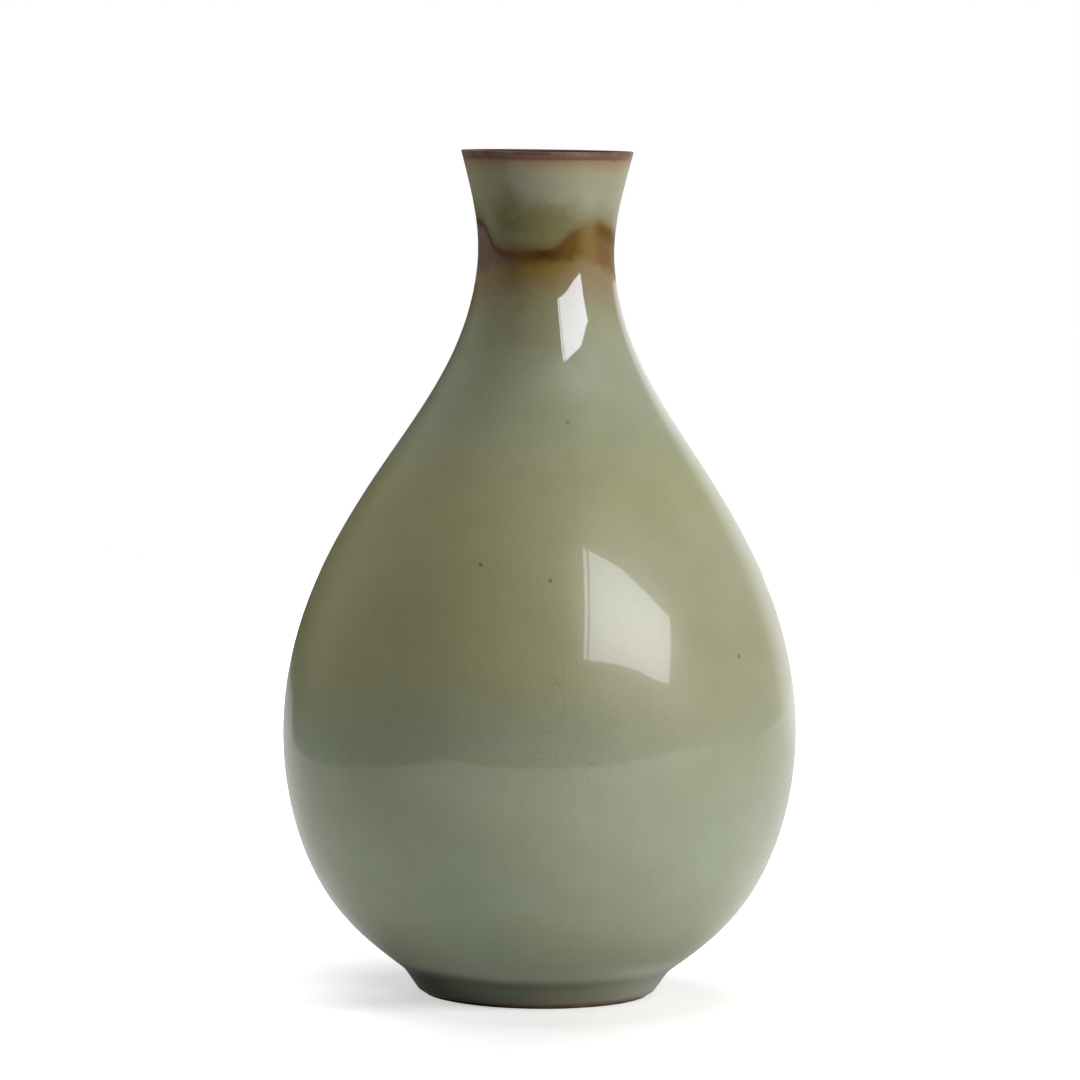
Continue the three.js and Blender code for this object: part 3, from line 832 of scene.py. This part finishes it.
def make_body_celadon():
    """The belly's bands of colour with painted shade, light and reflection, its specks and crackle, and the
    gloss that fades where the coat thins.
    """
    material, tree, shader = new_material("body_celadon")
    place = place_in_mm(tree)
    x, y, height = split(tree, place)
    ground = color_steps(tree, height, body_bands)

    # Painted reflection: paler and bluer on the right of the belly
    painted_reflection_share = times(
        tree, remap(tree, x, -10, 30, 0, 0.8), remap(tree, height, 112, 132, 1, 0),
        remap(tree, height, 10, 24))
    painted_reflection_tone = mix_colors(tree, remap(tree, height, 50, 75), celadon_painted_reflection_low, celadon_painted_reflection)
    ground = mix_colors(tree, painted_reflection_share, ground, painted_reflection_tone)

    # Painted shade darkens the left of the foot's front, and a painted highlight pales the crease on its
    # right
    painted_foot_shade = times(
        tree, remap(tree, x, -29, -8, 0.95, 0), remap(tree, y, -14, 16, 1, 0.25),
        remap(tree, height, 6.0, 10.5, 1, 0))
    ground = mix_colors(tree, painted_foot_shade, ground, celadon_foot_painted_shade)
    # Painted highlight along the crease on its right
    painted_crease_highlight = times(
        tree, remap(tree, x, 8, 29, 0, 0.85), remap(tree, height, 7.0, 9.4, 0.45, 1),
        remap(tree, height, 10, 12.5, 1, 0))
    ground = mix_colors(tree, painted_crease_highlight, ground, celadon_crease_painted_highlight)

    # Patches of crackle on the back of the belly, and the one on its front
    at_back = remap(tree, y, -20, 20)
    crackle = times(
        tree, remap(tree, height, 100, 140, 0.17, 0), remap(tree, height, 8, 20),
        remap(tree, noise(tree, place, 0.022, 1.0), 0.48, 0.64), at_back)
    crackle = maths(tree, "ADD", patch(tree, place, crackle_patch), crackle)
    coat = use_group(tree, celadon, {
        "Ground": ground, "Drifting": 0.25, "Crackle": crackle,
        "Specks": times(tree, at_back, 0.8)})
    tone = coat["Color"]
    for degrees, speck_height, size in iron_specks:
        away = vectors(tree, "DISTANCE", place, on_pot(degrees, speck_height))
        tone = mix_colors(tree, remap(tree, away, 0.3 * size, size, 0.6, 0), tone, scorch_and_painted_shade)
    tone = mix_colors(tree, patch(tree, place, olive_patch), tone, smoke_olive)
    over_foot = maths(tree, "SUBTRACT", height, coat_low / mm)
    tone = burn_edge(tree, burn(tree, tone), over_foot, 1.2, foot_amber, iron_edge_brown)
    finish_coat(tree, shader, tone, coat)

    # Glossiest on the shoulder, and dull where the coat thins out towards its dip line
    thinned = remap(tree, attribute_in_mm(tree, "over_body_line"), -6.5, -4.0)
    gloss = times(tree, remap(tree, height, 130, 168, 0.30, 1.0), maths(tree, "SUBTRACT", 1, thinned))
    tree.links.new(gloss, shader.inputs["Coat Weight"])
    haze = maths(tree, "ADD", coat["Roughness"], remap(tree, height, 145, 172, 0, 0.45))
    haze = maths(tree, "MULTIPLY_ADD", thinned, 0.25, haze)
    tree.links.new(haze, shader.inputs["Roughness"])
    return material


body_end = strip_along
body_places = np.linspace(0, body_end, int(body_end / outer_spacing))
body_hold = eased(body_places, body_end - hold_from, body_end - hold_fully)
body_outer = [
    (along, 0, 0, hold, hold)
    for along, hold in zip(body_places, body_hold) if foot_roll < along < body_end - edge_feather
]
back_places = np.linspace(body_end, 0, int(body_end / back_spacing))
back_hold = np.interp(back_places, body_places, body_hold)
back_depth = coat_edge + (coat_depth - coat_edge) * eased(body_end - back_places, 0, coat_thinning)
body_back = [(along, depth, 0, hold, hold) for along, depth, hold in zip(back_places, back_depth, back_hold)]
body_section = (
    roll(0, 1, foot_roll, foot_coat, (0, 0, 0))
    + body_outer
    + feather(body_end, -1, edge_feather, (0, 1, 1))[::-1]
    + body_back[1:-1]
    + [(0, foot_coat, 0, 0, 0)]
)
body_glaze = turn("body_glaze", pot_side, body_section, make_body_celadon())
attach(body_glaze, "root")
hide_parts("body_glaze")


# Mouth glaze: the coat of the second dip, which the pot gets upside down, from the neck up to the lip.
# It has run towards the lip, so it is thin and smoky over the dip line, and the lip's crest has
# drained bare.
mouth_spacing = 0.5 * mm
mouth_back_skip = 4
lip_feather = 1.0 * mm
lip_ripple = 0.3
mouth_grey = (0.240, 0.243, 0.152, 1)
mouth_pale = (0.300, 0.300, 0.195, 1)
mouth_sand = (0.270, 0.240, 0.150, 1)
mouth_bands = ((184, celadon_neck), (194, mouth_grey), (200, mouth_grey), (207, mouth_sand))
smoke_patches = ((-24, 193, 10, 0.95), (-4, 192, 9, 0.75), (-44, 194, 6, 0.4), (18, 191, 10, 0.9))
pale_patch = (30, 198, 10, 0.6)


def make_mouth_celadon():
    """Grey-green that turns sandy under the lip, with smoky patches, and duller than the belly."""
    material, tree, shader = new_material("mouth_celadon")
    place = place_in_mm(tree)
    height = split(tree, place)[2]
    coat = use_group(tree, celadon, {
        "Ground": color_steps(tree, height, mouth_bands), "Drifting": 0.35,
        "Crackle": 0.0, "Specks": 0.3})
    tone = mix_colors(tree, patch(tree, place, pale_patch), coat["Color"], mouth_pale)
    for spot in smoke_patches:
        tone = mix_colors(tree, patch(tree, place, spot), tone, smoke_olive)
    below_lip = maths(tree, "SUBTRACT", (lip_height - bare_lip) / mm, height)
    tone = burn_edge(tree, burn(tree, tone), below_lip, 4.0, amber_edge, lip_line_red)
    finish_coat(tree, shader, tone, coat)
    tree.links.new(maths(tree, "ADD", coat["Roughness"], 0.3), shader.inputs["Roughness"])
    shader.inputs["Specular IOR Level"].default_value = 0.15
    shader.inputs["Coat Weight"].default_value = 0.25
    shader.inputs["Coat Roughness"].default_value = 0.14
    return material


mouth_start = strip_along
mouth_end = np.interp(lip_height - bare_lip, pot_side[:, 1], pot_along)
mouth_places = np.linspace(mouth_start, mouth_end, int((mouth_end - mouth_start) / mouth_spacing))
mouth_hold = 1 - eased(mouth_places, mouth_start + edge_feather, mouth_end - lip_feather)
mouth_outer = [
    (along, 0, hold, 0, 0)
    for along, hold in zip(mouth_places, mouth_hold)
    if mouth_start + edge_feather < along < mouth_end - lip_feather
]
mouth_back = [
    (along, coat_edge, hold, 0, 0) for along, hold in list(zip(mouth_places, mouth_hold))[::-mouth_back_skip]
]
mouth_section = (
    feather(mouth_start, 1, edge_feather, (1, 0, 1))
    + mouth_outer
    + feather(mouth_end, -1, lip_feather, (0, 0, lip_ripple))[::-1]
    + mouth_back[1:-1]
    + [(mouth_start, coat_edge, 1, 0, 1)]
)
mouth_glaze = turn("mouth_glaze", pot_side, mouth_section, make_mouth_celadon())
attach(mouth_glaze, "root")
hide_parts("mouth_glaze")


# Liner glaze: the thin coat that is poured in, swirled round and poured out, so that the pot holds water.
# It lies on the inside of the wall and on the floor, and ends just inside the lip.
liner_depth = 0.6 * mm
liner_end = 1.4 * mm
liner_shade = (0.190, 0.195, 0.130, 1)
liner_spacing = 2.4 * mm


def make_liner_celadon():
    """Shaded grey-green with olive drifts, brown where it ends under the lip."""
    material, tree, shader = new_material("liner_celadon")
    coat = use_group(tree, celadon, {
        "Ground": liner_shade, "Drifting": 0.5, "Crackle": 0.15, "Specks": 0.6})
    height = split(tree, place_in_mm(tree))[2]
    below_end = maths(tree, "SUBTRACT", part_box("liner_glaze")[1].z / mm, height)
    tone = burn_edge(tree, coat["Color"], below_end, 4.0, amber_edge, iron_edge_brown)
    finish_coat(tree, shader, tone, coat)
    return material


liner_face = smooth_line(turned_face("liner_glaze", -1))
liner_outline = np.vstack(([(0, liner_face[0][1])], liner_face))
liner_length = lengths_along(liner_outline)[-1]
liner_places = np.linspace(0, liner_length, int(liner_length / liner_spacing))
liner_roll = [
    (along, -depth, *holds)
    for along, depth, *holds in roll(liner_length, -1, liner_end, liner_depth, (0, 0, 0))
]
liner_section = (
    [(along, -liner_depth, 0, 0, 0) for along in liner_places[:-1]]
    + liner_roll
    + [(along, 0, 0, 0, 0) for along in liner_places[::-1] if along < liner_length - liner_end]
)
liner_glaze = turn("liner_glaze", liner_outline, liner_section, make_liner_celadon())
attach(liner_glaze, "root")
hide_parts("liner_glaze")


# Foot well glaze: the pool of glaze that is dabbed under the floor, inside the foot ring.
# It creeps down in a small rim where it meets the clay of the ring.
well_low, well_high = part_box("foot_well_glaze")
pool_depth = 0.8 * mm
pool_face = well_high.z - pool_depth
pool_rim = pool_face - well_low.z
pool_radius = well_high.x
pool_arc_steps = 7
pool_spacing = 1.2 * mm


def make_well_celadon():
    """The belly's grey-green with more drifts, crackle and specks, brown along its rim."""
    material, tree, shader = new_material("well_celadon")
    coat = use_group(tree, celadon, {
        "Ground": celadon_low, "Drifting": 0.6, "Crackle": 0.3, "Specks": 1.0})
    x, y, _ = split(tree, place_in_mm(tree))
    from_rim = maths(tree, "SUBTRACT", pool_radius / mm, from_axis(tree, x, y))
    tone = burn_edge(tree, coat["Color"], from_rim, 3.0, amber_edge, iron_edge_brown)
    finish_coat(tree, shader, tone, coat)
    return material


pool_creep = [
    (pool_radius - pool_rim * (1 - math.sin(angle)), pool_face - pool_rim * (1 - math.cos(angle)))
    for angle in np.linspace(0, math.pi / 2, pool_arc_steps)
]
pool_corners = np.array([(0, pool_face), *pool_creep, (pool_radius, well_high.z), (0, well_high.z)])
pool_outline = finely(pool_corners, pool_spacing)
pool_section = [(along, 0, 0, 0, 0) for along in lengths_along(pool_outline)]
foot_well_glaze = turn("foot_well_glaze", pool_outline, pool_section, make_well_celadon())
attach(foot_well_glaze, "root")
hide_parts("foot_well_glaze")


# Table and light: a white table top in front of a white backdrop, and one tall window of two panes
# up on the right. The dim room round them shows only as the darker reflections in the glaze.
# The table is seen only from above and is open under the foot, so that light reaches the underside.
table_left, table_right = -0.36, 0.95
table_front, table_back = -0.44, 1.20
table_bend = 0.42
table_top = -0.03 * mm
table_back_left = -0.80
table_opening = foot_edge[0] / mm - 0.15
table_white = (0.86, 0.86, 0.85, 1)
table_glow_near = 0.512
table_glow_far = 0.90
sweep_glow = 0.72
front_glow = 1.0

# Painted shadow on the table in soft round patches by the pot: x, y, inner and outer reach in millimetres,
# and how much darker, paler where negative
table_painted_shadows = ((-5, -127, 30, 95, 0.33), (-50, -5, 4, 24, -0.11), (-47, 45, 4, 34, 0.12))

# The window's corners, and the two sides of each pane as shares of the way along its top and low edges
window_glow = 10.5
window_white = (1, 1, 1.15, 1)
window_top_left = Vector((0.176, -0.289, 0.471))
window_top_right = Vector((0.947, -0.344, 0.630))
window_low_left = Vector((0.447, -1.063, 0.582))
window_low_right = Vector((0.888, -0.514, 0.314))
window_panes = ((-0.031, -0.075), (-0.010, -0.025)), ((0.0, 0.0), (1.0, 1.0))

backdrop_side = 0.33
backdrop_back = 0.945
backdrop_glow = 1.0
side_wall_glow = 0.12
room_glow = 0.154
dark_corner = 0.1
glow_below = 0.9
# The soft lights: name, place, size and watts
light_aim = Vector((0, 0, 0.12))
soft_lights = (
    ("key", (1.71, -0.83, 0.63), 1.0, 33.0),
    ("overhead", (0.0, 0.22, 1.44), 1.4, 18.6),
    ("fill", (-1.65, 0.95, 0.63), 1.0, 8.5),
)


def stage_mesh(name, corners, faces, material):
    """A plain mesh that stands round the object and is no part of it."""
    mesh = bpy.data.meshes.new(name)
    mesh.from_pydata(corners, [], faces)
    mesh.materials.append(material)
    obj = bpy.data.objects.new(name, mesh)
    scene.collection.objects.link(obj)
    return obj


def make_table_white():
    """White laminate that the camera sees as bright as the backdrop, apart from the pot's shadow, which is
    partly cast and partly painted.
    """
    material, tree, shader = new_material("table_white")
    place = place_in_mm(tree)
    cloud = remap(tree, noise(tree, place, 0.05, 3.0), 0.3, 0.7, 0.985, 1.0)
    tree.links.new(vectors(tree, "SCALE", table_white[:3], cloud), shader.inputs["Base Color"])
    shader.inputs["Roughness"].default_value = 0.6
    shader.inputs["Specular IOR Level"].default_value = 0.2
    shader.inputs["Emission Color"].default_value = (1, 1, 1, 1)

    # What the camera sees glow, and what the glaze reflects far behind and close in front of the pot
    x, y, _ = split(tree, place)
    outward = from_axis(tree, x, y)
    glow = remap(tree, outward, 140, 420, table_glow_near, table_glow_far)
    # Painted shadow: the glow that the camera sees is lowered in these patches, and raised where the amount
    # is negative
    for shade_x, shade_y, near, far, darker in table_painted_shadows:
        away = vectors(tree, "DISTANCE", place, (shade_x, shade_y, 0))
        glow = maths(tree, "SUBTRACT", glow, remap(tree, away, near, far, darker, 0))
    path = tree.nodes.new("ShaderNodeLightPath").outputs
    sweep = times(tree, remap(tree, y, 300, 900, 0, sweep_glow), remap(tree, x, -50, 200))
    sweep = maths(tree, "ADD", sweep, remap(tree, y, -240, -80, front_glow, 0))
    sweep = times(tree, path["Is Glossy Ray"], sweep)
    shine = maths(tree, "MULTIPLY_ADD", path["Is Camera Ray"], glow, sweep)
    tree.links.new(shine, shader.inputs["Emission Strength"])

    below = tree.nodes.new("ShaderNodeNewGeometry").outputs["Backfacing"]
    whole = remap(tree, outward, table_opening, table_opening + 0.1)
    tree.links.new(times(tree, maths(tree, "SUBTRACT", 1, below), whole), shader.inputs["Alpha"])
    return material


def make_window_light():
    """The even daylight of the window's panes."""
    material = bpy.data.materials.new("window_light")
    material.use_nodes = True
    tree = material.node_tree
    tree.nodes.clear()
    glow = add_node(tree, "ShaderNodeEmission", {"Color": window_white, "Strength": window_glow})
    add_node(tree, "ShaderNodeOutputMaterial", {"Surface": glow.outputs[0]})
    return material


table_corners = [
    (table_left, table_front, table_top), (table_right, table_front, table_top),
    (table_right, table_back, table_top), (table_back_left, table_back, table_top),
    (table_left, table_bend, table_top),
]
stage_mesh("table", table_corners, [(0, 1, 2, 3, 4)], make_table_white())

window_corners = []
for pane in window_panes:
    for top_share, low_share in pane:
        window_corners.append(window_top_left.lerp(window_top_right, top_share))
        window_corners.append(window_low_left.lerp(window_low_right, low_share))
window = stage_mesh("window", window_corners, [(0, 1, 3, 2), (4, 5, 7, 6)], make_window_light())
window.visible_camera = False
window.visible_diffuse = False
window.visible_shadow = False


def make_room():
    """White to the camera; to the glaze, a bright backdrop behind the pot and a dim room elsewhere."""
    world = bpy.data.worlds.new("room")
    scene.world = world
    world.use_nodes = True
    tree = world.node_tree
    tree.nodes.clear()
    way = tree.nodes.new("ShaderNodeTexCoord").outputs["Generated"]
    x, y, z = split(tree, way)
    behind = maths(tree, "MULTIPLY_ADD", x, backdrop_side, times(tree, y, backdrop_back))
    glow = maths(tree, "ADD", remap(tree, behind, 0.89, 0.975, 0, backdrop_glow), room_glow)
    glow = maths(tree, "ADD", glow, remap(tree, x, 0.25, 0.90, 0, side_wall_glow))
    behind_left = maths(tree, "MULTIPLY_ADD", x, -backdrop_side, times(tree, y, backdrop_back))
    glow = times(tree, glow, remap(tree, behind_left, 0.86, 0.96, 1, dark_corner))
    glow = maths(tree, "ADD", glow, remap(tree, z, -0.85, -0.65, glow_below, 0))
    seen = tree.nodes.new("ShaderNodeLightPath").outputs["Is Camera Ray"]
    glow = maths(tree, "MAXIMUM", glow, seen)
    light = add_node(tree, "ShaderNodeBackground", {"Color": (1, 1, 1, 1), "Strength": glow})
    add_node(tree, "ShaderNodeOutputWorld", {"Surface": light.outputs[0]})


def soft_light(name, place, size, watts):
    """A large soft light that looks at the pot and leaves no reflection in the glaze."""
    data = bpy.data.lights.new(name, "AREA")
    data.shape = "DISK"
    data.size = size
    data.energy = watts
    light = bpy.data.objects.new(name, data)
    facing = (light_aim - place).to_track_quat("-Z", "Y")
    light.matrix_world = Matrix.Translation(place) @ facing.to_matrix().to_4x4()
    light.visible_glossy = False
    light.visible_camera = False
    scene.collection.objects.link(light)


make_room()
for name, place, size, watts in soft_lights:
    soft_light(name, Vector(place), size, watts)
scene.view_settings.view_transform = "Standard"


# Camera: a long lens a little above the middle of the pot, turned very slightly on its axis.
camera_place = Vector((-0.00055, -1.45, 0.2321))
camera_aim = Vector((-0.00055, 0, 0.1133))
camera_roll = 0.0136
sensor_width = 36.0
lens_length = 194.9

camera_data = bpy.data.cameras.new("camera")
camera_data.sensor_width = sensor_width
camera_data.lens = lens_length
camera = bpy.data.objects.new("camera", camera_data)
forward = (camera_aim - camera_place).normalized()
level_right = forward.cross(Vector((0, 0, 1))).normalized()
level_up = level_right.cross(forward)
right = level_right * math.cos(camera_roll) + level_up * math.sin(camera_roll)
up = level_up * math.cos(camera_roll) - level_right * math.sin(camera_roll)
camera.matrix_world = Matrix.Translation(camera_place) @ Matrix((right, up, -forward)).transposed().to_4x4()
scene.collection.objects.link(camera)
scene.camera = camera
